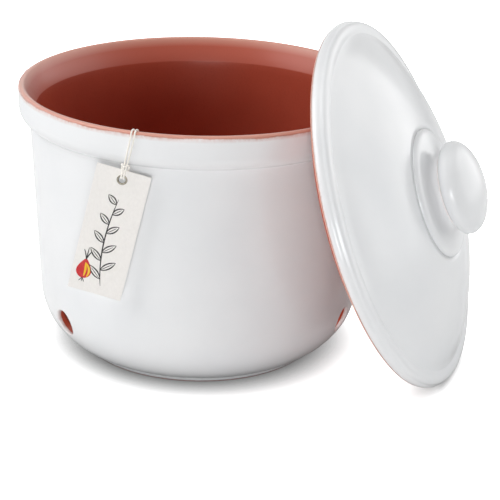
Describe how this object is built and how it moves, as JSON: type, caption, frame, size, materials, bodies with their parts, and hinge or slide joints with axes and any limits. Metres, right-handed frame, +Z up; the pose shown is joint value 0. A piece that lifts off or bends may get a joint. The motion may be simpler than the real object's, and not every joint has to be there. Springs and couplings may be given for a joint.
{
  "type": "onion pot",
  "caption": "Round glazed earthenware storage pot with vent holes low in its wall, a domed lid with a round knob leant on its rim, and a card tag on a string.",
  "frame": {"origin": "centre of the pot's flat foot, on the table", "axes": "+Z up along the pot's axis; -Y is the front, where the tag hangs; the lid leans on the rim 20 degrees from +X towards -Y"},
  "size_m": [0.3071, 0.2803, 0.2256],
  "materials": {
    "clay": "terracotta clay with a thin clear gloss, stands in for earthenware",
    "glaze": "white opaque gloss, stands in for ceramic glaze",
    "card": "matt off-white card with a fine laid texture",
    "steel": "bright rolled metal",
    "string": "cream twisted cotton"
  },
  "bodies": {
    "pot": {"pot_body": "clay", "pot_glaze": "glaze", "tag_string": "string", "string_knot": "string"},
    "lid": {"lid_body": "clay", "lid_glaze": "glaze", "lid_knob": "glaze"},
    "tag": {"tag_card": "card", "tag_eyelet": "steel"}
  },
  "joints": [
    {"name": "lid_lift", "type": "slide", "parent": "pot", "child": "lid", "axis": [0, 0, 1], "range_m": [0, 0.2]},
    {"name": "tag_swing", "type": "hinge", "parent": "pot", "child": "tag", "pos_m": [-0.0474, -0.11101, 0.1483], "axis": [0.139, 0.9889, 0.0523], "range_deg": [-25, 20]}
  ]
}
